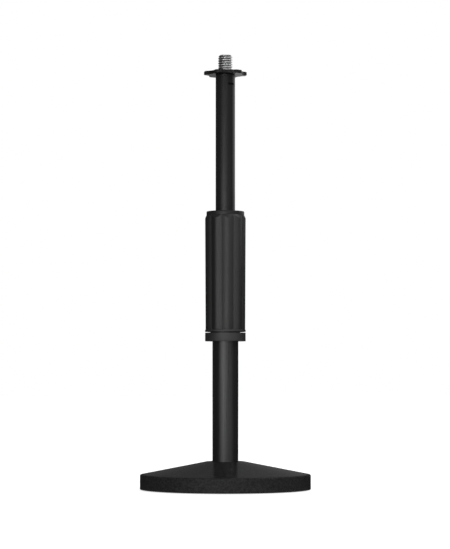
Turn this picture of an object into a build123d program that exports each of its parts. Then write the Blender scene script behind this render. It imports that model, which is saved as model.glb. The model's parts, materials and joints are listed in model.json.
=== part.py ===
from build123d import *
import math
import os

# Telescopic desk microphone stand, in millimetres.
# The origin is the centre of the base on the table top, and +Z runs up the tubes.

# Base casting
base_radius = 56.7
pad_proud = 0.5                 # how far the rubber ring stands out under the base
rim_top = 10.25                 # height of the corner between rim and cone
hub_radius = 12.6
hub_top = 18.95
rim_corner = 0.7
rim_bottom_corner = 0.3
hub_corner = 0.35
pad_outer = 46.0
pad_inner = 38.5
pad_depth = 1.5                 # depth of the groove that holds the ring
bolt_pocket_radius = 13.0
bolt_pocket_top = 10.6
tube_seat_depth = 3.0           # how deep the lower tube stands in the hub

# Tubes
lower_tube_radius = 8.62
lower_tube_wall = 1.2
upper_tube_radius = 6.5
upper_tube_wall = 1.1
upper_tube_top = 276.7
upper_tube_bottom = 126.0
running_gap = 0.05              # radial clearance of everything that slides or turns

# Height of each visible edge of the clutch, from its lowest ring to its top ring
collar_bottom = 98.6
collar_top = 104.3
flange_bottom = 104.85
flange_top = 106.35
chamfer_bottom = 180.3
chamfer_top = 182.7
grip_top = 185.2

# Clutch radii
collar_radius = 13.5
neck_radius = 10.0
neck_top = 160.0
tube_stop = 150.0               # the lower tube ends under this inner shoulder
core_radius = 11.4
core_relief_radius = 10.7
core_shoulder = 138.9           # it meets the retaining ring after the clutch's full travel
grip_crest_radius = 13.72       # radius over the ribs at the top of the sleeve
grip_foot_radius = 13.35        # radius over the ribs at its foot
top_ring_radius = 12.6
tube_opening = 6.8              # bore of the grip's cap around the upper tube

# Grip ribs
rib_count = 10
rib_radius = 4.8                # roundness of a rib's crest
rib_flank = 30.5                # tilt of the flat flanks beside the crest, in degrees
rib_turn = 7.3 - 90.0           # direction of the first rib, in degrees from +X
rib_foot_bevel = 0.8            # small bevel round the foot of the ribs
rib_margin = 0.3                # how far the turned envelope stands clear of the crests

# Retaining ring
ring_groove_bottom = 140.0
retaining_wire = 1.1            # height of the retaining ring

# Collet
collet_bottom = 151.6
collet_bore = upper_tube_radius + running_gap
collet_slots = 4
collet_slot_width = 0.9
washer_bottom = 164.0
washer_top = 165.0

# Threaded stud and lock ring
stud_radius = 4.7625            # 3/8 inch thread, major radius
stud_top = 290.1
stud_chamfer = 0.9
relief_radius = 3.88            # plain neck under the thread, where the lock ring turns freely
thread_start = 0.1              # gap between the lock ring and the first thread
thread_lead = 0.3
shank_bottom = 262.0
crimp_height = 270.3
crimp_depth = 0.5
crimp_size = 1.1
crimp_span = 45.0
crimp_turns = (-53.0, 127.0)
lock_ring_thickness = 2.3
lock_ring_radius = 14.32
lock_ring_edge = 0.35
nut_clearance = 0.07            # radial gap between the lock ring and the plain neck
scallop_count = 6
scallop_radius = 8.85
scallop_centre = 20.6
scallop_turn = -19.5

# Fasteners in the base
bolt_radius = 4.0
bolt_head_across_flats = 13.0
bolt_head_height = 5.3
bolt_length = 24.0
flat_washer_radius = 8.0
flat_washer_thickness = 1.6
spring_washer_radius = 7.2
spring_washer_thickness = 2.0
spring_washer_gap = 1.2
plug_length = 18.0

# Worked out from the sizes above
lower_bore = lower_tube_radius - lower_tube_wall
upper_bore = upper_tube_radius - upper_tube_wall
lower_tube_bottom = hub_top - tube_seat_depth
lock_ring_top = upper_tube_top + lock_ring_thickness


def turned(*points):
    """Solid of revolution about Z from (radius, height) points."""
    outline = make_face(Polyline(*points, close=True))
    return revolve(Plane.XZ * outline, Axis.Z)


def ring(outer, inner, bottom, top):
    """Plain ring or tube about Z."""
    body = Cylinder(outer, top - bottom, align=(Align.CENTER, Align.CENTER, Align.MIN))
    hole = Cylinder(inner, top - bottom, align=(Align.CENTER, Align.CENTER, Align.MIN))
    return Pos(0, 0, bottom) * (body - hole)


def disc(radius, bottom, top):
    """Plain round bar about Z."""
    return Pos(0, 0, bottom) * Cylinder(radius, top - bottom, align=(Align.CENTER, Align.CENTER, Align.MIN))


def edges_at(solid, radius, height):
    """Circular edges of a solid that lie at one radius and height."""
    return [
        edge for edge in solid.edges().filter_by(GeomType.CIRCLE)
        if abs(edge.radius - radius) < 0.01 and abs(edge.center(CenterOf.BOUNDING_BOX).Z - height) < 0.01
    ]


def make_base():
    """Cast base: a vertical rim, a low cone and a small flat hub that takes the tube."""
    body = turned(
        (0, pad_proud), (base_radius, pad_proud), (base_radius, rim_top),
        (hub_radius, hub_top), (0, hub_top),
    )
    body = fillet(edges_at(body, base_radius, rim_top), rim_corner)
    body = fillet(edges_at(body, base_radius, pad_proud), rim_bottom_corner)
    body = fillet(edges_at(body, hub_radius, hub_top), hub_corner)
    body -= ring(pad_outer, pad_inner, pad_proud, pad_proud + pad_depth)
    body -= disc(bolt_pocket_radius, pad_proud, bolt_pocket_top)
    body -= disc(bolt_radius + 0.5, pad_proud, hub_top)
    body -= disc(lower_tube_radius, lower_tube_bottom, hub_top)
    return body


def make_base_pad():
    """Rubber ring pressed into the groove under the base."""
    pad = ring(pad_outer, pad_inner, 0, pad_proud + pad_depth)
    return fillet(edges_at(pad, pad_outer, 0) + edges_at(pad, pad_inner, 0), 0.3)


def make_flat_washer():
    bottom = bolt_pocket_top - flat_washer_thickness
    return ring(flat_washer_radius, bolt_radius + 0.3, bottom, bolt_pocket_top)


def make_spring_washer():
    """Split lock washer under the flat washer."""
    top = bolt_pocket_top - flat_washer_thickness
    washer = ring(spring_washer_radius, bolt_radius + 0.2, top - spring_washer_thickness, top)
    split = Pos(spring_washer_radius, 0, top) * Rot(0, 20, 0) * Box(
        2 * spring_washer_radius, spring_washer_gap, 4 * spring_washer_thickness,
    )
    return washer - Rot(0, 0, 35) * split


def make_base_bolt():
    """Hexagon bolt that draws the tube's plug down onto the base."""
    head_top = bolt_pocket_top - flat_washer_thickness - spring_washer_thickness
    head = extrude(RegularPolygon(bolt_head_across_flats / 2, 6, major_radius=False), bolt_head_height)
    shank = disc(bolt_radius, head_top, head_top + bolt_length)
    shank = chamfer(edges_at(shank, bolt_radius, head_top + bolt_length), 0.7)
    return Pos(0, 0, head_top - bolt_head_height) * head + shank


def make_lower_tube():
    return ring(lower_tube_radius, lower_bore, lower_tube_bottom, tube_stop)


def make_lower_tube_plug():
    """Tapped steel plug pressed into the foot of the lower tube."""
    plug = ring(lower_bore, bolt_radius, lower_tube_bottom, lower_tube_bottom + plug_length)
    return chamfer(edges_at(plug, lower_bore, lower_tube_bottom + plug_length), 0.8)


def make_clutch_body():
    """Steel sleeve fixed on the lower tube, with a cone at its top that closes the collet."""
    body = turned(
        (lower_tube_radius, collar_bottom), (neck_radius, collar_bottom), (neck_radius, neck_top),
        (9.2, neck_top), (7.5, tube_stop + 1.5), (7.0, tube_stop + 1.5), (7.0, tube_stop),
        (lower_tube_radius, tube_stop),
    )
    groove = ring(neck_radius + 1, neck_radius - 0.6, ring_groove_bottom, ring_groove_bottom + retaining_wire)
    return body - groove


def make_collar_ring():
    """Plain black ring under the grip."""
    collar = ring(collar_radius, neck_radius, collar_bottom, collar_top)
    outer_edges = edges_at(collar, collar_radius, collar_bottom) + edges_at(collar, collar_radius, collar_top)
    return fillet(outer_edges, 0.25)


def make_retaining_ring():
    """Open snap ring that stops the grip from leaving the clutch body."""
    top = ring_groove_bottom + retaining_wire
    wire = ring(core_relief_radius - 0.15, neck_radius - 0.6, ring_groove_bottom, top)
    opening = Pos(neck_radius, 0, ring_groove_bottom) * Box(6, 3, 6)
    return wire - Rot(0, 0, 200) * opening


def make_guide_bush():
    """Nylon bush in the mouth of the lower tube that steadies the upper tube."""
    return ring(lower_bore, upper_tube_radius + running_gap, tube_stop - 8, tube_stop)


def make_collet():
    """Split clamping sleeve with a cone at its foot and a shoulder at its top."""
    shoulder_radius = 9.6
    sleeve = turned(
        (collet_bore, collet_bottom), (7.25, collet_bottom), (9.0, neck_top), (9.0, neck_top + 0.8),
        (shoulder_radius, neck_top + 0.8), (shoulder_radius, washer_bottom), (collet_bore, washer_bottom),
    )
    slot = Pos(0, 0, collet_bottom) * Box(
        2 * shoulder_radius + 2, collet_slot_width, 9, align=(Align.CENTER, Align.CENTER, Align.MIN),
    )
    for index in range(collet_slots // 2):
        sleeve -= Rot(0, 0, 45 + index * 360 / collet_slots) * slot
    return sleeve


def make_thrust_washer():
    """Slip washer between the turning cap and the collet, which doesn't turn."""
    return ring(9.8, tube_opening, washer_bottom, washer_top)


def make_grip_core():
    """Threaded steel core of the grip, with the thin flange at its foot."""
    return turned(
        (neck_radius + running_gap, flange_bottom), (collar_radius - 0.2, flange_bottom),
        (collar_radius, flange_bottom + 0.2), (collar_radius, flange_top - 0.2),
        (collar_radius - 0.2, flange_top), (core_radius, flange_top), (core_radius, chamfer_top),
        (core_relief_radius, chamfer_top), (core_relief_radius, core_shoulder),
        (neck_radius + running_gap, core_shoulder),
    )


def rib_outline(crest_radius):
    """Closed outline of ribs with round crests and flat flanks that meet in sharp valleys."""
    centre = crest_radius - rib_radius
    half_step = math.pi / rib_count
    tilt = math.radians(rib_flank)
    flank_radius = centre + rib_radius * math.cos(tilt)
    flank_side = rib_radius * math.sin(tilt)
    spread = math.tan(half_step)
    run = (spread * flank_radius - flank_side) / (math.cos(tilt) + spread * math.sin(tilt))
    valley_radius = flank_radius - run * math.sin(tilt)
    valley_side = flank_side + run * math.cos(tilt)
    one_rib = [
        Line((valley_radius, -valley_side), (flank_radius, -flank_side)),
        ThreePointArc((flank_radius, -flank_side), (crest_radius, 0), (flank_radius, flank_side)),
        Line((flank_radius, flank_side), (valley_radius, valley_side)),
    ]
    turns = [rib_turn + index * 360 / rib_count for index in range(rib_count)]
    return make_face(Wire([Rot(0, 0, turn) * side for turn in turns for side in one_rib]))


def make_grip_sleeve():
    """Ribbed sleeve that narrows a little towards its foot and is chamfered at its top."""
    foot = Pos(0, 0, flange_top) * rib_outline(grip_foot_radius)
    head = Pos(0, 0, chamfer_top) * rib_outline(grip_crest_radius)
    ribs = loft([foot, head])
    clear_radius = grip_crest_radius + rib_margin
    chamfer_slope = (chamfer_top - chamfer_bottom) / (grip_crest_radius - top_ring_radius)
    envelope = turned(
        (core_radius, flange_top), (grip_crest_radius - rib_foot_bevel, flange_top),
        (clear_radius, flange_top + rib_foot_bevel),
        (clear_radius, chamfer_bottom - rib_margin * chamfer_slope),
        (top_ring_radius, chamfer_top), (core_radius, chamfer_top),
    )
    return ribs & envelope


def make_grip_cap():
    """Plain ring on top of the grip; its spigot presses on the slip washer."""
    cap = turned(
        (tube_opening, washer_top), (core_relief_radius, washer_top), (core_relief_radius, chamfer_top),
        (top_ring_radius, chamfer_top), (top_ring_radius, grip_top), (tube_opening, grip_top),
    )
    return fillet(edges_at(cap, top_ring_radius, grip_top), 0.35)


def make_slide_bush():
    """Nylon bush on the foot of the upper tube; it runs in the lower tube."""
    outer = lower_bore - running_gap
    inner = upper_tube_radius + running_gap
    snap = upper_tube_radius - 0.25
    foot = upper_tube_bottom - 1.6
    return turned(
        (4.2, foot), (outer - 0.5, foot), (outer, foot + 0.5), (outer, upper_tube_bottom + 9.5),
        (inner, upper_tube_bottom + 9.5), (inner, upper_tube_bottom + 5.0),
        (snap, upper_tube_bottom + 4.8), (snap, upper_tube_bottom + 4.2),
        (inner, upper_tube_bottom + 4.0), (inner, upper_tube_bottom - 0.05), (4.2, upper_tube_bottom - 0.05),
    )


def make_upper_tube():
    """Upper tube with a snap groove at its foot and two crimps that hold the stud."""
    tube = ring(upper_tube_radius, upper_bore, upper_tube_bottom, upper_tube_top)
    groove = ring(upper_tube_radius + 1, upper_tube_radius - 0.35, 3.6, 5.4)
    tube -= Pos(0, 0, upper_tube_bottom) * groove
    band = ring(upper_tube_radius + 1, upper_tube_radius - crimp_depth, 0, crimp_size)
    half = math.radians(crimp_span / 2)
    far = 2 * upper_tube_radius * math.cos(half)
    side = 2 * upper_tube_radius * math.sin(half)
    wedge = extrude(make_face(Polyline((0, 0), (far, -side), (far, side), close=True)), crimp_size)
    crimp = Pos(0, 0, crimp_height - crimp_size / 2) * (band & wedge)
    for turn in crimp_turns:
        tube -= Rot(0, 0, turn) * crimp
    return tube


def make_thread_stud():
    """Stud for the microphone holder, turned in one piece with the shank inside the tube."""
    thread_bottom = lock_ring_top + thread_start
    return turned(
        (0, shank_bottom), (upper_bore - 0.4, shank_bottom), (upper_bore, shank_bottom + 0.4),
        (upper_bore, upper_tube_top), (relief_radius, upper_tube_top), (relief_radius, thread_bottom),
        (stud_radius - thread_lead, thread_bottom), (stud_radius, thread_bottom + thread_lead),
        (stud_radius, stud_top - stud_chamfer), (stud_radius - stud_chamfer, stud_top), (0, stud_top),
    )


def make_lock_ring():
    """Thin lobed counter nut that locks whatever is screwed on the stud."""
    plate = disc(lock_ring_radius, upper_tube_top, lock_ring_top)
    scallop = Pos(scallop_centre, 0, 0) * disc(scallop_radius, upper_tube_top - 1, lock_ring_top + 1)
    for index in range(scallop_count):
        plate -= Rot(0, 0, scallop_turn + index * 360 / scallop_count) * scallop
    rims = plate.faces().sort_by(Axis.Z)
    plate = fillet(rims[0].edges() + rims[-1].edges(), lock_ring_edge)
    return plate - disc(relief_radius + nut_clearance, upper_tube_top - 1, lock_ring_top + 1)


pieces = {
    "base": make_base,
    "base_pad": make_base_pad,
    "base_bolt": make_base_bolt,
    "flat_washer": make_flat_washer,
    "spring_washer": make_spring_washer,
    "lower_tube": make_lower_tube,
    "lower_tube_plug": make_lower_tube_plug,
    "clutch_body": make_clutch_body,
    "collar_ring": make_collar_ring,
    "retaining_ring": make_retaining_ring,
    "guide_bush": make_guide_bush,
    "collet": make_collet,
    "thrust_washer": make_thrust_washer,
    "grip_core": make_grip_core,
    "grip_sleeve": make_grip_sleeve,
    "grip_cap": make_grip_cap,
    "slide_bush": make_slide_bush,
    "upper_tube": make_upper_tube,
    "thread_stud": make_thread_stud,
    "lock_ring": make_lock_ring,
}

os.makedirs("parts", exist_ok=True)
for name, make in pieces.items():
    export_step(make(), f"parts/{name}.step")
    print("wrote", name)
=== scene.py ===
# %% [markdown]
# # A telescopic desk microphone stand
# This file dresses a finished CAD model. The CAD model is the fixed frame: it gives every piece its place and
# its size, and Blender gives every surface its look. One Blender unit is one metre, +Z points up along the
# tubes, and the origin is the middle of the base on the table top.

# %% Load the CAD frame
import bpy
import bmesh
import json
import math
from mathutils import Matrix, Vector


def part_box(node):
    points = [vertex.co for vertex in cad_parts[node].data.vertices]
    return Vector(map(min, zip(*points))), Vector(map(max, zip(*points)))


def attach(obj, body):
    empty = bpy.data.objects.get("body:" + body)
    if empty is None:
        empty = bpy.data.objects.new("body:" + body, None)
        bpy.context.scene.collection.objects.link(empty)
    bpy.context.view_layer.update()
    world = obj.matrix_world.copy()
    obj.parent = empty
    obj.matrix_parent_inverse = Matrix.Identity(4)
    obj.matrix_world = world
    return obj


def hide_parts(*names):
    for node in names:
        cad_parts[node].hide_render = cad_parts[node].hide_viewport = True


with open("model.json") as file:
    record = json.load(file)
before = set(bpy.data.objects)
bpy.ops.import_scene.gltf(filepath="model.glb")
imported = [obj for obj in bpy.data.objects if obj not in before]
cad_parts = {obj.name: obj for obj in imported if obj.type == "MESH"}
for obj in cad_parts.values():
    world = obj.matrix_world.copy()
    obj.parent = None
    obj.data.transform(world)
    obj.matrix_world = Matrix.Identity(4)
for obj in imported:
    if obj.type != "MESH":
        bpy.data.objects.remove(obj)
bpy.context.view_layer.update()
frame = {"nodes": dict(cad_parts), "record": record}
mm = 0.001

# %% [markdown]
# ## The camera
# The stand is seen from the front and almost level, from about a metre and a half away with a long lens, so
# its sides look parallel. A long lens far away bends a tall thin object less than a short lens close by.

# %% Camera
camera_data = bpy.data.cameras.new("camera")
camera_data.lens = 140.3
camera = bpy.data.objects.new("camera", camera_data)
camera.location = (-0.25 * mm, -1425 * mm, 76.2 * mm)
camera.rotation_euler = (math.radians(92.689), 0, 0)
bpy.context.scene.collection.objects.link(camera)
bpy.context.scene.camera = camera
print("camera", round(camera.location.length, 3), "m away, lens", camera_data.lens, "mm")

# %% [markdown]
# ## Writing shader maths as sums
# A shader is a graph of nodes, and long graphs are hard to read in code. `Signal` wraps one output socket of
# a node, and its operators add Math nodes, so a mask can be written as `1 - mask * 0.5`. `Finish` is a
# material under construction: its `node` method adds any other kind of node.

# %% Signals and finishes
def feed(socket, value):
    """Gives a socket a plain value, or links a signal to it."""
    if isinstance(value, Signal):
        socket.id_data.links.new(value.socket, socket)
    else:
        socket.default_value = value


class Signal:
    """One shader socket that can stand in a Python sum."""

    def __init__(self, socket):
        self.socket = socket

    def math(self, operation, first, second=0.0):
        node = self.socket.id_data.nodes.new("ShaderNodeMath")
        node.operation = operation
        feed(node.inputs[0], first)
        feed(node.inputs[1], second)
        return Signal(node.outputs[0])

    def __add__(self, other):
        return self.math("ADD", self, other)

    def __radd__(self, other):
        return self.math("ADD", other, self)

    def __sub__(self, other):
        return self.math("SUBTRACT", self, other)

    def __rsub__(self, other):
        return self.math("SUBTRACT", other, self)

    def __mul__(self, other):
        return self.math("MULTIPLY", self, other)

    def __rmul__(self, other):
        return self.math("MULTIPLY", other, self)

    def __pow__(self, other):
        return self.math("POWER", self, other)

    def at_most(self, other):
        return self.math("MINIMUM", self, other)

    def at_least(self, other):
        return self.math("MAXIMUM", self, other)


class Tree:
    """Adds nodes to a node tree by kind, settings and sockets."""

    def __init__(self, tree):
        self.tree = tree

    def node(self, kind, settings=(), sockets=(), out=0):
        node = self.tree.nodes.new(kind)
        for name, value in dict(settings).items():
            if name == "stops":
                ramp = node.color_ramp
                while len(ramp.elements) < len(value):
                    ramp.elements.new(1.0)
                for stop, (position, level) in zip(ramp.elements, value):
                    stop.position = position
                    stop.color = (level, level, level, 1.0)
            else:
                setattr(node, name, value)
        for name, value in dict(sockets).items():
            feed(node.inputs[name], value)
        return Signal(node.outputs[out])


class Finish(Tree):
    """A material under construction, with its tree and its one surface shader."""

    def __init__(self, name, **fixed):
        self.material = bpy.data.materials.new(name)
        self.material.use_nodes = True
        super().__init__(self.material.node_tree)
        self.shader = self.tree.nodes["Principled BSDF"]
        self.place = self.node("ShaderNodeTexCoord", out="Object")
        for socket, value in fixed.items():
            self.set(socket.replace("_", " "), value)

    def set(self, socket, value):
        feed(self.shader.inputs[socket], value)

    def noise(self, scale, detail=2.0, stretch=(1, 1, 1), roughness=0.5):
        """Even grey noise, whose features are about 1/scale metres wide, stretched along an axis."""
        place = self.place
        if stretch != (1, 1, 1):
            place = self.node("ShaderNodeMapping", sockets={"Vector": place, "Scale": stretch})
        sockets = {"Vector": place, "Scale": scale, "Detail": detail, "Roughness": roughness}
        return self.node("ShaderNodeTexNoise", sockets=sockets)

    def ramp(self, signal, *stops):
        """A curve through (input, output) stops."""
        return self.node("ShaderNodeValToRGB", {"stops": stops}, {"Fac": signal})

    def between(self, mask, low, high):
        """A plain number that goes from low to high as the mask goes from 0 to 1."""
        return mask * (high - low) + low

    def colours(self, mask, first, second):
        """Mixes two grey or tinted colours by a mask."""
        sockets = {"Factor": mask, 6: (*first, 1.0), 7: (*second, 1.0)}
        return self.node("ShaderNodeMix", {"data_type": "RGBA"}, sockets, out=2)

    def bump(self, height, depth, under=None):
        """Turns a height signal into a small relief of that depth in metres."""
        sockets = {"Height": height, "Distance": depth, "Strength": 1.0}
        if under is not None:
            sockets["Normal"] = under
        return self.node("ShaderNodeBump", sockets=sockets)

    def parts(self):
        """The position's x, y and z as three signals."""
        sockets = {"Vector": self.place}
        return [self.node("ShaderNodeSeparateXYZ", sockets=sockets, out=axis) for axis in range(3)]


print("shader helpers ready")

# %% [markdown]
# ## Powder coat on the cast base
# The base is cast iron under black powder coat. Sprayed powder melts into a skin with a fine grain, and it
# flows smoother on a face that lies flat in the oven than on an upright one. So the bump grows towards the
# rim, where the face turns upright, and the roughness has slow patches, as where hands have polished it.

# %% Base coat
def powder_coat():
    finish = Finish("black_powder_coat", Specular_IOR_Level=0.125)
    x, y, _ = finish.parts()
    radius = (x * x + y * y) ** 0.5
    rim = finish.ramp(radius * (1 / (60 * mm)), (0.90, 0.0), (0.94, 1.0))
    grain = finish.ramp(finish.noise(850, 4.0, roughness=0.7), (0.36, 0.0), (0.64, 1.0))
    peel = finish.noise(420, 1.0)
    patches = finish.noise(38, 3.0)
    finish.set("Base Color", finish.colours(grain, (0.007, 0.007, 0.0072), (0.026, 0.026, 0.0265)))
    finish.set("Roughness", finish.between(patches, 0.15, 0.21) + rim * 0.24)
    flowed = finish.bump(peel, 0.004 * mm)
    finish.set("Normal", finish.bump(grain * finish.between(rim, 0.10, 1.0), 0.055 * mm, flowed))
    return finish.material


base_finish = powder_coat()
print("made", base_finish.name)

# %% [markdown]
# ## Coat on the tubes
# The tubes are steel, drawn along their length and coated satin black. The coat is thin, so what shows is a
# slight orange peel, and faint lines along the tube where it slides through the clutch. Noise stretched along
# Z gives the lines, and they go to the roughness more than to the bump.

# %% Tube coat
def tube_coat():
    finish = Finish("satin_tube_coat", Specular_IOR_Level=0.33)
    peel = finish.noise(650, 1.0)
    lines = finish.noise(2600, 2.0, (1, 1, 0.012))
    smears = finish.noise(45, 2.0, (1, 1, 0.35))
    finish.set("Base Color", finish.colours(smears, (0.0095, 0.0095, 0.0098), (0.0125, 0.0125, 0.0129)))
    finish.set("Roughness", finish.between(lines, 0.24, 0.29) + smears * 0.04)
    finish.set("Normal", finish.bump(lines, 0.0012 * mm, finish.bump(peel, 0.0025 * mm)))
    return finish.material


tube_finish = tube_coat()
print("made", tube_finish.name)

# %% [markdown]
# ## Moulded plastic and lacquer
# The grip, its cap and the lock ring are moulded with a satin surface, and the collar and the flange carry a
# lacquer of nearly the same gloss. They share one recipe: a very fine grain, which is the texture of the
# mould or the spray, and a slow change of gloss. Each gets its own grey, gloss and grain.

# %% Satin blacks
def satin_black(name, dark, light, mirror, gloss, grain_scale, depth):
    finish = Finish(name, Specular_IOR_Level=mirror)
    grain = finish.noise(grain_scale, 3.0)
    handling = finish.noise(70, 2.0)
    finish.set("Base Color", finish.colours(handling, (dark,) * 3, (light,) * 3))
    finish.set("Roughness", finish.between(handling, gloss - 0.03, gloss + 0.04))
    finish.set("Normal", finish.bump(grain, depth))
    return finish.material


grip_finish = satin_black("grip_plastic", 0.007, 0.009, 0.77, 0.51, 2400, 0.006 * mm)
cap_finish = satin_black("cap_plastic", 0.014, 0.018, 0.25, 0.35, 2600, 0.005 * mm)
collar_finish = satin_black("collar_lacquer", 0.010, 0.012, 0.97, 0.58, 2100, 0.005 * mm)
ring_finish = satin_black("ring_plastic", 0.006, 0.009, 0.3, 0.36, 2600, 0.008 * mm)
print("made", grip_finish.name, cap_finish.name, collar_finish.name, ring_finish.name)

# %% [markdown]
# ## Rubber pad
# The ring under the base is soft rubber. Rubber is dull, a little grey with dust, and pitted.

# %% Pad rubber
def pad_rubber():
    finish = Finish("pad_rubber", Specular_IOR_Level=0.3)
    pits = finish.noise(900, 4.0, roughness=0.7)
    dust_and_shade_mottle = finish.ramp(finish.noise(60, 3.0), (0.45, 0.0), (0.75, 1.0))
    finish.set("Base Color", finish.colours(dust_and_shade_mottle, (0.016, 0.016, 0.016), (0.042, 0.041, 0.039)))
    finish.set("Roughness", finish.between(dust_and_shade_mottle, 0.7, 0.9))
    finish.set("Normal", finish.bump(pits, 0.06 * mm))
    return finish.material


pad_finish = pad_rubber()
print("made", pad_finish.name)

# %% [markdown]
# ## Painted shade in gaps
# Grooves and narrow gaps get painted shade: a near-black, dull finish that reflects almost nothing, which is
# why such places look like ink lines. A fine noise mottles the black a little.

# %% Painted gap shade
def dry_black():
    finish = Finish("dry_black", Specular_IOR_Level=0.08, Roughness=0.9)
    # Painted shade with a fine mottle: near black, whatever light falls on it.
    dust_and_shade_mottle = finish.noise(1400, 3.0)
    finish.set("Base Color", finish.colours(dust_and_shade_mottle, (0.002, 0.002, 0.002), (0.006, 0.006, 0.006)))
    return finish.material


gap_shade_finish = dry_black()
print("made", gap_shade_finish.name)

# %% [markdown]
# ## Bare and plated metal
# The stud, the bolt and its washers are steel with bright zinc plating, and the parts inside the clutch are
# turned, blackened and oiled; their colour is darker still as painted shade, for the clutch's neck that
# shows in the narrow gap under the flange. A lathe leaves fine rings round the part, so noise squeezed along
# Z and spread round the axis gives tight bands, and a slow cloud gives the uneven plating. The stud's colour
# has
# painted shade at the foot of its turns: it darkens towards the axis, but not on its end.

# %% Metals
def metal(name, shade, tint, gloss, band_depth, thread=None):
    """Turned metal; a thread is given by the radius of its crests and the height of its end, and gets painted
    shade at its roots.
    """
    finish = Finish(name, Metallic=1.0)
    bands = finish.noise(300, 2.0, (0.2, 0.2, 22.0))
    cloud = finish.noise(160, 3.0)
    brightness = finish.between(cloud, 0.72, 1.0)
    if thread:
        crest_radius, tip = thread
        x, y, z = finish.parts()
        # Painted shade: the colour darkens towards the thread's roots, and the end ramp keeps the stud's end
        # out of it.
        painted_root_shade = finish.ramp((x * x + y * y) ** 0.5 * (1 / crest_radius), (0.80, 0.38), (0.93, 1.0))
        end = finish.ramp(z * (1 / tip), (0.9965, 0.0), (0.9975, 1.0))
        brightness = brightness * painted_root_shade.at_least(end)
    bright = tuple(shade * part for part in tint)
    finish.set("Base Color", finish.colours(brightness, (0.0, 0.0, 0.0), bright))
    finish.set("Roughness", finish.between(cloud, gloss, gloss + 0.12))
    finish.set("Normal", finish.bump(bands, band_depth))
    return finish.material


stud_radius = 4.7625 * mm
stud_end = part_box("thread_stud")[1].z
stud_finish = metal("plated_thread", 0.92, (1.0, 1.0, 1.01), 0.38, 0.004 * mm, (stud_radius, stud_end))
fastener_finish = metal("plated_fastener", 0.58, (0.98, 0.99, 1.0), 0.28, 0.004 * mm)
# Partly painted shade: the blackened steel is darkened further, so the clutch's neck in the narrow gap looks
# shaded.
blackened_shaded_steel = metal("turned_steel", 0.03, (1.0, 0.99, 0.98), 0.34, 0.010 * mm)
print("made", stud_finish.name, fastener_finish.name, blackened_shaded_steel.name)

# %% [markdown]
# ## Nylon
# The bushes, the collet and the slip washer are natural nylon: a warm white plastic with a waxy gloss, in
# which light travels a little way. They are inside the clutch and show only when it is taken apart.

# %% Nylon
def nylon():
    finish = Finish("natural_nylon", Subsurface_Weight=0.25, Subsurface_Scale=1.2 * mm)
    mould = finish.noise(1500, 2.0)
    cloud = finish.noise(120, 2.0)
    finish.set("Base Color", finish.colours(cloud, (0.62, 0.60, 0.54), (0.72, 0.71, 0.66)))
    finish.set("Roughness", finish.between(cloud, 0.38, 0.48))
    finish.set("Normal", finish.bump(mould, 0.006 * mm))
    return finish.material


nylon_finish = nylon()
slot_finish = {
    "base_coat": base_finish, "tube_coat": tube_finish, "collar_coat": collar_finish,
    "grip_plastic": grip_finish, "ring_plastic": ring_finish, "pad_rubber": pad_finish,
    "thread_plating": stud_finish, "zinc_steel": fastener_finish, "turned_steel": blackened_shaded_steel,
    "nylon": nylon_finish,
}
print("finishes:", len(slot_finish))

# %% [markdown]
# ## From a CAD node to a finished piece
# Every piece of the CAD model has a node, a body that it moves with and a material slot. `node_slot` reads
# which slot each node has, and `node_body` reads the body. `dress` puts a new mesh in the place of a node:
# it rides on the same body and takes the same finish.

# %% Nodes, slots and bodies
record = frame["record"]
node_slot = {}
for part in record["subparts"]:
    found = part.get("material_slots") or part.get("material_slot")
    node_slot[part["node"]] = found[0] if isinstance(found, list) else found
node_body = {name: body for body, names in record["behaviour"]["bodies"].items() for name in names}
for name, piece in frame["nodes"].items():
    piece.data.materials.clear()
    piece.data.materials.append(slot_finish[node_slot[name]])


def dress(piece, node):
    """Shows a piece instead of a CAD node."""
    if not piece.data.materials:
        piece.data.materials.append(slot_finish[node_slot[node]])
    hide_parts(node)
    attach(piece, node_body[node])
    print(piece.name, "stands for", node, "with", len(piece.data.polygons), "faces")


def reach(node):
    """A node's bottom, top and outer radius, in metres."""
    low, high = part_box(node)
    return low.z, high.z, max(high.x, high.y)


print("slots:", node_slot)

# %% [markdown]
# ## Turning a piece on a lathe
# Nearly every part of a stand is turned, so one outline in radius and height, spun round Z, gives its shape.
# A real edge is never perfectly sharp, and a small round edge is what catches the light. `rounded` takes
# corners with a fillet each. It puts an extra point close to each side of a fillet, so that the smooth
# shading of the fillet doesn't spread over the flat face beside it.

# %% Lathe
def rounded(corners, step=15.0, guard=0.12 * mm):
    """Points of a closed outline from (radius, height, fillet) corners."""
    points = []
    for index, (r, z, fillet) in enumerate(corners):
        here = Vector((r, z))
        before = Vector(corners[index - 1][:2]) - here
        after = Vector(corners[(index + 1) % len(corners)][:2]) - here
        room = min(before.length, after.length) * 0.45
        turn = math.pi - before.angle(after)
        if fillet <= 0 or turn < 0.01:
            points.append(here)
            continue
        reach_back = min(fillet * math.tan(turn / 2), room)
        fillet = reach_back / math.tan(turn / 2)
        back, ahead = before.normalized(), after.normalized()
        centre = here + (back + ahead).normalized() * fillet / math.cos(turn / 2)
        spokes = [here + back * reach_back - centre, here + ahead * reach_back - centre]
        count = max(2, math.ceil(math.degrees(turn) / step))
        spare = min(guard, room - reach_back)
        if spare > 0:
            points.append(here + back * (reach_back + spare))
        for part in range(count + 1):
            share = part / count
            spoke = spokes[0] * math.sin((1 - share) * turn) + spokes[1] * math.sin(share * turn)
            points.append(centre + spoke / math.sin(turn))
        if spare > 0:
            points.append(here + ahead * (reach_back + spare))
    return [tuple(point) for point in points]


sharp_angle = math.radians(32)


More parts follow.
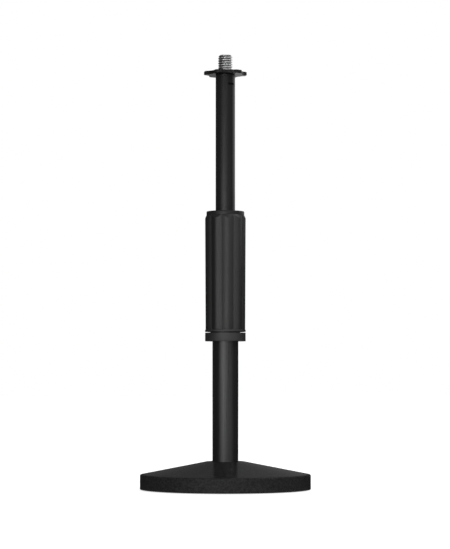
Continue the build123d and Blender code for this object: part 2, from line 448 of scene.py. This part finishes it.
def finish_mesh(name, verts, faces):
    """A smooth-shaded object whose sharp edges stay sharp, with its faces pointing outwards."""
    mesh = bpy.data.meshes.new(name)
    mesh.from_pydata(verts, [], faces)
    shell = bmesh.new()
    shell.from_mesh(mesh)
    bmesh.ops.remove_doubles(shell, verts=shell.verts, dist=1e-7)
    bmesh.ops.dissolve_degenerate(shell, edges=shell.edges, dist=1e-8)
    bmesh.ops.recalc_face_normals(shell, faces=shell.faces)
    shell.to_mesh(mesh)
    shell.free()
    mesh.shade_smooth()
    mesh.set_sharp_from_angle(angle=sharp_angle)
    piece = bpy.data.objects.new(name, mesh)
    bpy.context.scene.collection.objects.link(piece)
    return piece


def paint(piece, first, second, test):
    """Gives a piece two finishes: the second goes to the faces whose middle and normal pass a test."""
    piece.data.materials.append(first)
    piece.data.materials.append(second)
    painted = 0
    for face in piece.data.polygons:
        if test(face.center, face.normal):
            face.material_index = 1
            painted += 1
    print(painted, "faces of", piece.name, "are", second.name)


def ring_points(height, around, radius_at):
    """A level ring of points round Z, whose radius is a function of the angle."""
    points = []
    for i in range(around):
        angle = 2 * math.pi * i / around
        radius = radius_at(angle)
        points.append((radius * math.cos(angle), radius * math.sin(angle), height))
    return points


def ring_faces(rings, around):
    """Quads between rings of points, where ring number k holds the points from k * around."""
    faces = []
    for k, following in rings:
        for i in range(around):
            j = (i + 1) % around
            faces.append((k * around + i, k * around + j, following * around + j, following * around + i))
    return faces


def closed_rings(count):
    """Pairs of neighbouring rings, with the last joined to the first."""
    return [(k, (k + 1) % count) for k in range(count)]


def plain_round(radius, angle, height):
    return radius


def turned(name, outline, around=192, shape=plain_round):
    """A closed outline of (radius, height) points spun round Z; `shape` may change the radius as it turns."""
    verts = []
    for radius, height in outline:
        verts += ring_points(height, around, lambda angle: shape(radius, angle, height))
    return finish_mesh(name, verts, ring_faces(closed_rings(len(outline)), around))


print("a fillet turns one corner into", len(rounded([(0, 0, 0), (1, 0, 0.1), (1, 1, 0)])) - 2, "points")

# %% [markdown]
# ## Base
# The base is one heavy casting: an upright rim, a low cone and a small flat hub from which the tube rises.
# Under it are a groove for the rubber ring and a pocket for the bolt head. It is all one outline, and the
# fillet of each corner is as round as a casting's edge under its coat.

# %% Base and its pad
base_bottom, hub_top, base_radius = reach("base")
pad_bottom, pad_top, pad_outer = reach("base_pad")
rim_top = base_bottom + 9.75 * mm
hub_radius = 12.6 * mm
pad_inner = 38.5 * mm
bolt_hole = 4.5 * mm
pocket_radius = 13 * mm
pocket_top = reach("flat_washer")[1]
lower_bottom, lower_top, lower_radius = reach("lower_tube")
base_outline = rounded([
    (bolt_hole, pocket_top, 0), (pocket_radius, pocket_top, 0.5 * mm), (pocket_radius, base_bottom, 0.5 * mm),
    (pad_inner, base_bottom, 0.3 * mm), (pad_inner, pad_top, 0.2 * mm), (pad_outer, pad_top, 0.2 * mm),
    (pad_outer, base_bottom, 0.3 * mm), (base_radius, base_bottom, 0.35 * mm),
    (base_radius, rim_top, 0.75 * mm), (hub_radius, hub_top, 0.9 * mm), (lower_radius, hub_top, 0),
    (lower_radius, lower_bottom, 0), (bolt_hole, lower_bottom, 0),
])
dress(turned("cast_base", base_outline, around=384), "base")
pad_outline = rounded([
    (pad_inner, pad_bottom, 0.3 * mm), (pad_outer, pad_bottom, 0.3 * mm),
    (pad_outer, pad_top, 0), (pad_inner, pad_top, 0),
])
dress(turned("rubber_ring", pad_outline, around=256), "base_pad")

# %% [markdown]
# ## Lower tube
# The lower tube stands in the hub and disappears under the collar. It is a plain steel tube with a wall, so
# its outline is a rectangle.

# %% Lower tube
def tube_wall(bottom, top, outer, inner, edge):
    """The outline of a plain tube with a little edge rounding."""
    return rounded([(inner, bottom, edge), (outer, bottom, edge), (outer, top, edge), (inner, top, edge)])


lower_wall = 1.2 * mm
lower_outline = tube_wall(lower_bottom, lower_top, lower_radius, lower_radius - lower_wall, 0.15 * mm)
dress(turned("lower_tube_shell", lower_outline), "lower_tube")

# %% [markdown]
# ## Collar and flange
# Two thin black rings close the clutch at its foot. The collar is fixed to the tube and the flange turns with
# the grip, so a narrow dark gap lies between them. The collar's lower edge has a visible round. Above the
# flange the core is a plain sleeve, bored wider above a shoulder for the spigot of the cap.

# %% Collar ring and grip core
collar_low, collar_high, collar_radius = reach("collar_ring")
neck_radius = 10 * mm
collar_outline = rounded([
    (neck_radius, collar_low, 0), (collar_radius, collar_low, 0.25 * mm),
    (collar_radius, collar_high, 0.12 * mm), (neck_radius, collar_high, 0),
])
collar = turned("collar_band", collar_outline)
# The collar's top face, in the gap under the flange, gets painted shade.
paint(collar, collar_finish, gap_shade_finish, lambda middle, normal: normal.z > 0.2)
dress(collar, "collar_ring")
core_low, core_high, flange_radius = reach("grip_core")
flange_top = core_low + 1.5 * mm
core_radius = 11.4 * mm
core_bore = 10.05 * mm
core_relief = 10.7 * mm
core_shoulder = 138.9 * mm
core_outline = rounded([
    (core_bore, core_low, 0), (flange_radius, core_low, 0.12 * mm), (flange_radius, flange_top, 0.2 * mm),
    (core_radius, flange_top, 0), (core_radius, core_high, 0), (core_relief, core_high, 0),
    (core_relief, core_shoulder, 0), (core_bore, core_shoulder, 0),
])
core = turned("flanged_core", core_outline)
# The flange's underside, over the gap, gets painted shade.
paint(core, collar_finish, gap_shade_finish, lambda middle, normal: normal.z < -0.2 and middle.z < flange_top)
dress(core, "grip_core")

# %% [markdown]
# ## Ribbed grip
# The grip is a sleeve of ten ribs that meet in sharp valleys, a shape that turns well under the fingers. It
# narrows a little towards its foot, and a chamfer at its top cuts the crests in small half-moons. A rib's
# outline is a hyperbola: round at the crest and almost straight on the flanks. Where a line from the axis
# meets it is a quadratic equation, so a rib needs no search for its points.

# %% Shape of a rib
rib_count = 10
rib_round = 3.7 * mm
rib_steep = math.tan(math.radians(42))
first_rib = math.radians(7.3 - 90)
sleeve_low, sleeve_high, _ = reach("grip_sleeve")
crest_foot, crest_head = 13.35 * mm, 13.72 * mm
cap_radius = reach("grip_cap")[2]
chamfer_low = sleeve_high - 2.4 * mm


def rib_reach(crest, angle):
    """How far from the axis the rib's face is, at an angle from the middle of the rib."""
    blunt = rib_round * rib_steep ** 2
    tip = crest + blunt
    bend = math.cos(angle) ** 2 - (rib_steep * math.sin(angle)) ** 2
    middle = tip * math.cos(angle)
    return (middle - math.sqrt(middle ** 2 - bend * (tip ** 2 - blunt ** 2))) / bend


def sleeve_reach(angle, height):
    share = (height - sleeve_low) / (sleeve_high - sleeve_low)
    return rib_reach(crest_foot + (crest_head - crest_foot) * share, angle)


def chamfer_reach(height):
    share = (height - chamfer_low) / (sleeve_high - chamfer_low)
    return crest_head + (cap_radius - crest_head) * share


def chamfer_start(angle):
    """The height at which a column of the rib meets the chamfer."""
    low, high = chamfer_low - 3 * mm, sleeve_high
    for _ in range(40):
        middle = (low + high) / 2
        if sleeve_reach(angle, middle) < chamfer_reach(middle):
            low = middle
        else:
            high = middle
    return low


valley_angle = math.pi / rib_count
print("valley radius", round(rib_reach(crest_head, valley_angle) / mm, 2), "mm")
print("the chamfer cuts the valley at", round(chamfer_start(valley_angle) / mm, 2), "mm")

# %% [markdown]
# ## One rib as a strip
# One rib is a strip whose columns run from the foot to the top and whose rows meet exactly on the edge of the
# chamfer. Rows lie close together there and at the rounded foot, and far apart on the plain length between.

# %% One rib
def one_rib(columns=28, rows=12, guard=0.16 * mm, edge=0.2 * mm):
    """The outside of one rib, from the foot to the top, and its flat ends down to the core."""
    grid = []
    for column in range(columns + 1):
        angle = valley_angle * (2 * column / columns - 1)
        start = chamfer_start(angle)
        first = sleeve_low + edge
        heights = [first + (start - guard - first) * row / rows for row in range(rows + 1)]
        after = min(start + guard, sleeve_high)
        heights += [start, after, (after + sleeve_high) / 2, sleeve_high]
        foot = sleeve_reach(angle, sleeve_low) - edge
        line = [(core_radius, sleeve_low)]
        for tilt in range(0, 90, 15):
            across, up = math.sin(math.radians(tilt)), 1 - math.cos(math.radians(tilt))
            line.append((foot + edge * across, sleeve_low + edge * up))
        line += [(min(sleeve_reach(angle, height), chamfer_reach(height)), height) for height in heights]
        line.append((core_radius, sleeve_high))
        grid.append([(r * math.cos(angle), r * math.sin(angle), z) for r, z in line])
    deep = len(grid[0])
    verts = [point for line in grid for point in line]
    faces = []
    for column in range(columns):
        for row in range(deep):
            a, b = column * deep + row, column * deep + (row + 1) % deep
            faces.append((a, a + deep, b + deep, b))
    return verts, faces


rib_verts, rib_faces = one_rib()
print("one rib:", len(rib_faces), "faces")

# %% [markdown]
# ## Repeating the rib with Geometry Nodes
# A node tree copies the strip round the axis: one point for each rib, an instance of the strip on each point,
# turned by its index, then Realize Instances and a weld along the valleys. The count, the first angle and the
# weld are named inputs, so another grip could reuse the tree.

# %% Geometry Nodes helpers
def node_tree(name, inputs):
    """A Geometry Nodes tree with named inputs, as (name, socket type, default)."""
    tree = bpy.data.node_groups.new(name, "GeometryNodeTree")
    tree.interface.new_socket("Geometry", in_out="INPUT", socket_type="NodeSocketGeometry")
    tree.interface.new_socket("Geometry", in_out="OUTPUT", socket_type="NodeSocketGeometry")
    for label, kind, default in inputs:
        socket = tree.interface.new_socket(label, in_out="INPUT", socket_type=kind)
        if default is not None:
            socket.default_value = default
    entry = tree.nodes.new("NodeGroupInput")
    return Tree(tree), {socket.name: Signal(socket) for socket in entry.outputs if socket.name}


def end_tree(builder, geometry, material):
    """Ends a tree in Set Material and the group's output."""
    finished = builder.node("GeometryNodeSetMaterial", sockets={"Geometry": geometry, "Material": material})
    feed(builder.tree.nodes.new("NodeGroupOutput").inputs[0], finished)


def welded(builder, geometry, distance):
    """Makes instances real and joins the points that lie closer together than the distance."""
    real = builder.node("GeometryNodeRealizeInstances", sockets={"Geometry": geometry})
    return builder.node("GeometryNodeMergeByDistance", sockets={"Geometry": real, "Distance": distance})


def grow(piece, builder, values):
    """Runs a tree on a piece and keeps the result as its plain mesh."""
    modifier = piece.modifiers.new("grow", "NODES")
    modifier.node_group = builder.tree
    for item in builder.tree.interface.items_tree:
        if item.in_out == "INPUT" and item.name in values:
            modifier[item.identifier] = values[item.name]
    evaluated = piece.evaluated_get(bpy.context.evaluated_depsgraph_get())
    mesh = bpy.data.meshes.new_from_object(evaluated)
    piece.modifiers.remove(modifier)
    piece.data = mesh


print("node helpers ready")

# %% [markdown]
# ## The tree for the ribs
# Index times the step angle turns each copy. Merge by Distance welds neighbours along their shared valley,
# and the edges there are marked sharp, because smooth shading would fill the valleys with a false curve.

# %% Rib tree and grip
def rib_tree():
    builder, entry = node_tree("ribs_round_an_axis", [
        ("Rib count", "NodeSocketInt", 10), ("First angle", "NodeSocketFloat", 0.0),
        ("Weld", "NodeSocketFloat", 0.00001), ("Finish", "NodeSocketMaterial", None),
    ])
    points = builder.node("GeometryNodePoints", sockets={"Count": entry["Rib count"]}, out="Points")
    index = builder.node("GeometryNodeInputIndex")
    step = index.math("DIVIDE", 2 * math.pi, entry["Rib count"])
    turn = index * step + entry["First angle"]
    turns = builder.node("ShaderNodeCombineXYZ", sockets={"Z": turn})
    rotation = builder.node("FunctionNodeEulerToRotation", sockets={"Euler": turns})
    placed = {"Points": points, "Instance": entry["Geometry"], "Rotation": rotation}
    copies = builder.node("GeometryNodeInstanceOnPoints", sockets=placed)
    end_tree(builder, welded(builder, copies, entry["Weld"]), entry["Finish"])
    return builder


grip = finish_mesh("ribbed_sleeve", rib_verts, rib_faces)
weld_distance = 1e-6
grow(grip, rib_tree(), {
    "Rib count": rib_count, "First angle": first_rib, "Weld": weld_distance, "Finish": grip_finish,
})
grip.data.shade_smooth()
grip.data.set_sharp_from_angle(angle=math.radians(18))
dress(grip, "grip_sleeve")

# %% [markdown]
# ## Cap of the grip
# A plain ring closes the grip's top. The upper tube passes through its bore with a hair's gap, and a spigot
# under it reaches down inside the ribs, so the outline has a step.

# %% Grip cap
spigot_low, cap_top, _ = reach("grip_cap")
cap_bore = 6.8 * mm
cap_outline = rounded([
    (cap_bore, spigot_low, 0), (core_relief, spigot_low, 0), (core_relief, sleeve_high, 0),
    (cap_radius, sleeve_high, 0.15 * mm), (cap_radius, cap_top, 0.45 * mm), (cap_bore, cap_top, 0.35 * mm),
])
cap = turned("grip_cap_ring", cap_outline)
cap.data.materials.append(cap_finish)
dress(cap, "grip_cap")

# %% [markdown]
# ## Upper tube with its crimps
# Two short grooves are pressed into the tube near its top and hold the stud inside. Each spans 45 degrees and
# fades out at its ends. The tube is a lathe shape whose radius also depends on the angle: rows of points lie
# close together around the crimps, and the points there are pushed in.

# %% Upper tube
tube_bottom, tube_top, upper_radius = reach("upper_tube")
upper_wall = 1.1 * mm
crimp_height = tube_top - 6.4 * mm
crimp_half_width = 0.75 * mm
crimp_depth = 0.6 * mm
crimp_half_span = math.radians(22.5)
crimp_fade = math.radians(6)
crimp_turns = (math.radians(-53), math.radians(127))


def crimp(angle, height):
    """How deep the pressed groove is at a point of the tube."""
    across = abs(height - crimp_height) / crimp_half_width
    if across >= 1:
        return 0.0
    along = min(abs((angle - turn + math.pi) % (2 * math.pi) - math.pi) for turn in crimp_turns)
    fade = min(1.0, max(0.0, (crimp_half_span - along) / crimp_fade))
    return crimp_depth * (1 - across ** 3) * fade


def is_outside(radius):
    """Whether a point of the outline is on the outer face, and not on an end or in the bore."""
    return radius > upper_radius - 0.2 * mm


def pressed(radius, angle, height):
    """The radius of a point once the crimp is pressed in; the bore stays round."""
    return radius - (crimp(angle, height) if is_outside(radius) else 0.0)


def in_crimp(middle, normal):
    """Whether a face lies where the groove is deep enough to get painted shade."""
    return crimp(math.atan2(middle.y, middle.x), middle.z) > 0.2 * mm


upper_outline = tube_wall(tube_bottom, tube_top, upper_radius, upper_radius - upper_wall, 0.2 * mm)
crimp_rows = [(upper_radius, crimp_height + step * 0.15 * mm) for step in range(-6, 7)]
above = next(k for k, (r, z) in enumerate(upper_outline) if is_outside(r) and z > crimp_height)
upper_outline[above:above] = crimp_rows
tube = turned("crimped_tube", upper_outline, around=240, shape=pressed)
# The deep middle of each crimp gets painted shade.
paint(tube, tube_finish, gap_shade_finish, in_crimp)
dress(tube, "upper_tube")

# %% [markdown]
# ## Lock ring
# The lock ring is a thin plate with six scallops for the fingertips. Its outline is the smaller of two
# distances at each angle: the plate's round edge, or the near side of a scallop's circle. A soft minimum
# rounds the corners where they meet. The same outline, drawn in a little at its top and bottom, gives the
# round edge.

# %% Lock ring
ring_low, ring_high, _ = reach("lock_ring")
ring_radius = 14.32 * mm
ring_bore = 3.95 * mm
scallop_radius = 8.85 * mm
scallop_centre = 20.6 * mm
scallop_turn = math.radians(-19.5)
scallop_count = 6
lobe_blend = 0.35 * mm


def lobe_reach(angle):
    """Distance from the axis to the ring's edge at an angle."""
    step = 2 * math.pi / scallop_count
    off = (angle - scallop_turn + step / 2) % step - step / 2
    side = scallop_centre * math.sin(off)
    if abs(side) >= scallop_radius:
        return ring_radius
    near = scallop_centre * math.cos(off) - math.sqrt(scallop_radius ** 2 - side ** 2)
    share = min(1.0, max(0.0, 0.5 + (ring_radius - near) / (2 * lobe_blend)))
    return min(ring_radius, near * share + ring_radius * (1 - share) - lobe_blend * share * (1 - share))


def lobed_ring(around=720, edge=0.4 * mm, guard=0.12 * mm, bevel=0.25 * mm):
    """The ring as closed rows of points: each rim is the outline drawn in by a distance, at a height."""
    lower = [(0.0, ring_low + edge)]
    for tilt in (15, 30, 45, 60, 75, 90):
        drawn = edge * (1 - math.cos(math.radians(tilt)))
        lower.append((drawn, ring_low + edge - edge * math.sin(math.radians(tilt))))
    lower.append((edge + guard, ring_low))
    upper = [(drawn, ring_low + ring_high - height) for drawn, height in lower]
    middle = [(0.0, ring_low + edge + guard), (0.0, ring_high - edge - guard)]
    verts = []
    for drawn, height in lower[::-1] + middle + upper:
        verts += ring_points(height, around, lambda angle: lobe_reach(angle) - drawn)
    for radius, height in ((ring_bore + bevel, ring_high), (ring_bore, ring_high - bevel),
                           (ring_bore, ring_low + bevel), (ring_bore + bevel, ring_low)):
        verts += ring_points(height, around, lambda angle: radius)
    return finish_mesh("lobed_lock_ring", verts, ring_faces(closed_rings(len(verts) // around), around))


dress(lobed_ring(), "lock_ring")

# %% [markdown]
# ## Stud and its thread
# The stud carries a 3/8 inch thread with 16 turns to the inch, which microphone holders screw onto. A thread
# is a rule: the radius depends on the height less the climb of the helix. The tree starts from a flat grid,
# reads each point's column as an angle and its row as a place on the profile, and sets the point's position.
# Because the rows climb with the helix, crests and roots follow rows of points and stay crisp. Half a crest's
# flat is an eighth of a turn's height, half a root's is a sixteenth, and a straight flank joins them.

# %% Thread tree
def thread_tree():
    builder, entry = node_tree("thread_on_an_axis", [
        ("Pitch", "NodeSocketFloat", 0.0015875), ("Crest radius", "NodeSocketFloat", 0.00476),
        ("Root radius", "NodeSocketFloat", 0.0037), ("Bottom", "NodeSocketFloat", 0.0),
        ("Top", "NodeSocketFloat", 0.01), ("Turns", "NodeSocketInt", 8), ("Around", "NodeSocketInt", 96),
        ("Weld", "NodeSocketFloat", 0.000001), ("Finish", "NodeSocketMaterial", None),
    ])
    rows_per_turn = 16
    columns, rows = entry["Around"] + 1, entry["Turns"] * rows_per_turn + 1
    sizes = {"Size X": 1.0, "Size Y": 1.0, "Vertices X": columns, "Vertices Y": rows}
    grid = builder.node("GeometryNodeMeshGrid", sockets=sizes, out="Mesh")
    flat = {"Vector": builder.node("GeometryNodeInputPosition")}
    column = builder.node("ShaderNodeSeparateXYZ", sockets=flat, out="X") + 0.5
    row = (builder.node("ShaderNodeSeparateXYZ", sockets=flat, out="Y") + 0.5) * entry["Turns"]
    height = entry["Bottom"] + entry["Pitch"] * (row + column - 1)
    crest_half, root_half = 1 / 8, 1 / 16
    slope = 1 / (0.5 - crest_half - root_half)
    flank = row.math("PINGPONG", row, 0.5) * slope - crest_half * slope
    depth = flank.at_least(0.0).at_most(1.0)
    profile = entry["Crest radius"] - (entry["Crest radius"] - entry["Root radius"]) * depth
    below_top = (entry["Top"] - height).at_least(0.0) + entry["Root radius"]
    above_bottom = (height - entry["Bottom"]).at_least(0.0) + entry["Root radius"]
    radius = profile.at_most(below_top).at_most(above_bottom)
    kept = height.at_least(entry["Bottom"]).at_most(entry["Top"])
    angle = column * (2 * math.pi)
    along_x = radius * angle.math("COSINE", angle)
    along_y = radius * angle.math("SINE", angle)
    place = builder.node("ShaderNodeCombineXYZ", sockets={"X": along_x, "Y": along_y, "Z": kept})
    wound = builder.node("GeometryNodeSetPosition", sockets={"Geometry": grid, "Position": place})
    both = builder.node("GeometryNodeJoinGeometry", sockets={"Geometry": wound})
    builder.tree.links.new(entry["Geometry"].socket, both.socket.node.inputs[0])
    end_tree(builder, welded(builder, both, entry["Weld"]), entry["Finish"])
    return builder


print("thread tree described")

# %% [markdown]
# ## The turned ends of the stud
# The shank inside the tube, the plain neck in the lock ring and the flat top are a lathe shape, open where
# the thread goes. It is the tree's input, and the tree welds the thread into it.

# %% Stud
shank_low, stud_top, shank_radius = reach("thread_stud")
root_radius = 3.7 * mm
thread_low = ring_high + 0.1 * mm
thread_around = 96
stud_rows = [
    (0.0, shank_low), (shank_radius - 0.4 * mm, shank_low), (shank_radius, shank_low + 0.4 * mm),
    (shank_radius, tube_top), (root_radius, tube_top), (root_radius, thread_low),
    (root_radius, stud_top), (root_radius * 0.5, stud_top), (0.0, stud_top),
]
open_row = stud_rows.index((root_radius, thread_low))
stud_verts = []
for radius, height in stud_rows:
    stud_verts += ring_points(height, thread_around, lambda angle: radius)
stud_links = [(k, k + 1) for k in range(len(stud_rows) - 1) if k != open_row]
stud = finish_mesh("threaded_stud", stud_verts, ring_faces(stud_links, thread_around))
pitch = 25.4 / 16 * mm
grow(stud, thread_tree(), {
    "Pitch": pitch, "Crest radius": stud_radius, "Root radius": root_radius,
    "Bottom": thread_low, "Top": stud_top, "Turns": math.ceil((stud_top - thread_low) / pitch) + 2,
    "Around": thread_around, "Weld": weld_distance, "Finish": stud_finish,
})
stud.data.shade_smooth()
stud.data.set_sharp_from_angle(angle=sharp_angle)
dress(stud, "thread_stud")

# %% [markdown]
# ## Floor and background
# The stand is on a plain pale floor in front of a white background. The floor is a diffuse surface that also
# glows a little for reflections and for the camera, so it looks white but still holds the stand's soft
# shadow, and it adds no light to the stand. For the camera it glows less: where a background is far
# brighter than white, it eats into the edges of a dark piece in front of it.

# %% Floor
def seen_directly(builder):
    """1 for camera, glossy and transmission rays, 0 for the rays that light things."""
    camera_ray = builder.node("ShaderNodeLightPath", out="Is Camera Ray")
    glossy_ray = builder.node("ShaderNodeLightPath", out="Is Glossy Ray")
    clear_ray = builder.node("ShaderNodeLightPath", out="Is Transmission Ray")
    return (camera_ray + glossy_ray + clear_ray).at_most(1.0)


def floor_material():
    finish = Finish("pale_floor", Roughness=0.9, Specular_IOR_Level=0.1)
    finish.set("Base Color", (0.72, 0.72, 0.72, 1.0))
    finish.set("Emission Color", (1.0, 1.0, 1.0, 1.0))
    camera_ray = finish.node("ShaderNodeLightPath", out="Is Camera Ray")
    finish.set("Emission Strength", seen_directly(finish) * 0.85 - camera_ray * 0.12)
    return finish.material


floor_half = 6.0
floor_corners = [(x * floor_half, y * floor_half, 0) for x, y in ((-1, -1), (1, -1), (1, 1), (-1, 1))]
floor_mesh = bpy.data.meshes.new("floor")
floor_mesh.from_pydata(floor_corners, [], [(0, 1, 2, 3)])
floor = bpy.data.objects.new("floor", floor_mesh)
bpy.context.scene.collection.objects.link(floor)
floor.data.materials.append(floor_material())
print("floor", 2 * floor_half, "m wide")

# %% [markdown]
# ## World
# The studio's white background fills the horizon, and its ceiling is dim. Rays that light the stand get an
# even soft grey from everywhere.

# %% World
def studio_world():
    world = bpy.data.worlds.new("studio")
    world.use_nodes = True
    world.cycles.sampling_method = "NONE"
    builder = Tree(world.node_tree)
    direction = builder.node("ShaderNodeTexCoord", out="Generated")
    climb = builder.node("ShaderNodeSeparateXYZ", sockets={"Vector": direction}, out="Z")
    ceiling = builder.node("ShaderNodeValToRGB", {"stops": ((0.24, 1.0), (0.36, 0.15))}, {"Fac": climb})
    camera_ray = builder.node("ShaderNodeLightPath", out="Is Camera Ray")
    shown = ceiling.at_least(camera_ray)
    strength = seen_directly(builder) * (shown - 0.5) + 0.5
    feed(world.node_tree.nodes["Background"].inputs["Strength"], strength)
    feed(world.node_tree.nodes["Background"].inputs["Color"], (1.0, 1.0, 1.0, 1.0))
    return world


bpy.context.scene.world = studio_world()
bpy.context.scene.view_settings.view_transform = "Standard"
print("world ready")

# %% [markdown]
# ## Lamps
# Black satin shows the room round it more than its own colour, so a photographer shapes it with what it
# mirrors. Upright soft panels stand in front and reach only a little above the table, so the highlight on the
# tubes fades towards the top. Panels of the same middle and growing width lie over each other: their sum is
# bright in the middle and dim at its edges, and the highlight gets soft sides. A low strip on the right adds
# the shoulder of the highlight, and a small panel stands high on the right. The last two reach what the tubes
# hardly mirror: one hangs in front of the rough plastic, and one overhead, face down, lights chamfered edges.

# %% Lamps
def soft_panel(name, azimuth, distance, heights, width, radiance):
    """An upright lamp that faces the stand; azimuth 0 is the camera's side, positive to the right."""
    data = bpy.data.lights.new(name, "AREA")
    data.shape = "RECTANGLE"
    data.size, data.size_y = width, heights[1] - heights[0]
    data.energy = radiance * math.pi * data.size * data.size_y
    lamp = bpy.data.objects.new(name, data)
    angle = math.radians(azimuth)
    lamp.location = (distance * math.sin(angle), -distance * math.cos(angle), sum(heights) / 2)
    lamp.rotation_euler = (math.radians(90), 0, angle)
    bpy.context.scene.collection.objects.link(lamp)
    return lamp


for distance, width, radiance in ((1.86, 0.66, 3.0), (1.88, 1.52, 2.8), (1.90, 2.97, 4.05)):
    soft_panel("key_panel", -16.5, distance, (0.002, 0.23), width, radiance)
for distance, width, radiance in ((1.92, 1.10, 4.5), (1.94, 2.60, 4.8)):
    soft_panel("right_strip", 36.4, distance, (0.002, 0.06), width, radiance)
soft_panel("high_panel", 70.6, 1.90, (1.13, 2.03), 0.53, 11.0)
soft_panel("fill_panel", 20, 1.90, (0.9, 1.5), 0.7, 2.8)
overhead_panel = soft_panel("overhead_panel", 0, 0, (1.9, 2.6), 0.7, 2.5)
overhead_panel.rotation_euler = (0, 0, 0)
print("lamps ready")

# %% [markdown]
# ## Flags
# Dark cloths and cards, called flags, keep the rest of the room out of the reflections. Only reflections see
# them, and they cast no shadow. Each is a strip bent round the stand, given by its range of azimuth and by
# the distance and height of its two edges; a card that lies on the table has both edges at one height.

# %% Flags
def flag_material(level):
    material = bpy.data.materials.new("flag_cloth")
    material.use_nodes = True
    builder = Tree(material.node_tree)
    material.node_tree.nodes.remove(material.node_tree.nodes["Principled BSDF"])
    glow = builder.node("ShaderNodeEmission", sockets={"Color": (level, level, level, 1.0)})
    feed(material.node_tree.nodes["Material Output"].inputs["Surface"], glow)
    return material


def flag(name, azimuths, edges, level, steps=24):
    """A dark strip that only reflections see, between two edges of (distance, height)."""
    verts = []
    for step in range(steps + 1):
        angle = math.radians(azimuths[0] + (azimuths[1] - azimuths[0]) * step / steps)
        for distance, height in edges:
            verts.append((distance * math.sin(angle), -distance * math.cos(angle), height))
    faces = [(2 * s, 2 * s + 2, 2 * s + 3, 2 * s + 1) for s in range(steps)]
    mesh = bpy.data.meshes.new(name)
    mesh.from_pydata(verts, [], faces)
    mesh.materials.append(flag_material(level))
    strip = bpy.data.objects.new(name, mesh)
    bpy.context.scene.collection.objects.link(strip)
    for kind in ("camera", "diffuse", "shadow", "transmission", "volume_scatter"):
        setattr(strip, "visible_" + kind, False)


far, near = 2.6, 0.33
beside_base = (0.0575, 0.0005)
card_height = beside_base[1]
flag("front_cloth", (-118, 97), ((far, 0.0), (far, 2.6)), 0.055)
flag("front_card", (-180, 97), (beside_base, (far, card_height)), 0.03)
flag("left_rear_cloth", (-166, -118), ((far, 0.0), (far, 1.6)), 0.055)
flag("mid_left_cloth", (-180, -166), ((far, 0.0), (far, 1.6)), 0.09)
flag("mid_right_cloth", (160, 180), ((far, 0.0), (far, 1.6)), 0.14)
flag("right_rear_cloth", (97, 160), ((near, 0.0), (near, 0.204)), 0.03)
flag("right_rear_card", (97, 168), (beside_base, (near, card_height)), 0.03)
print("flags ready")
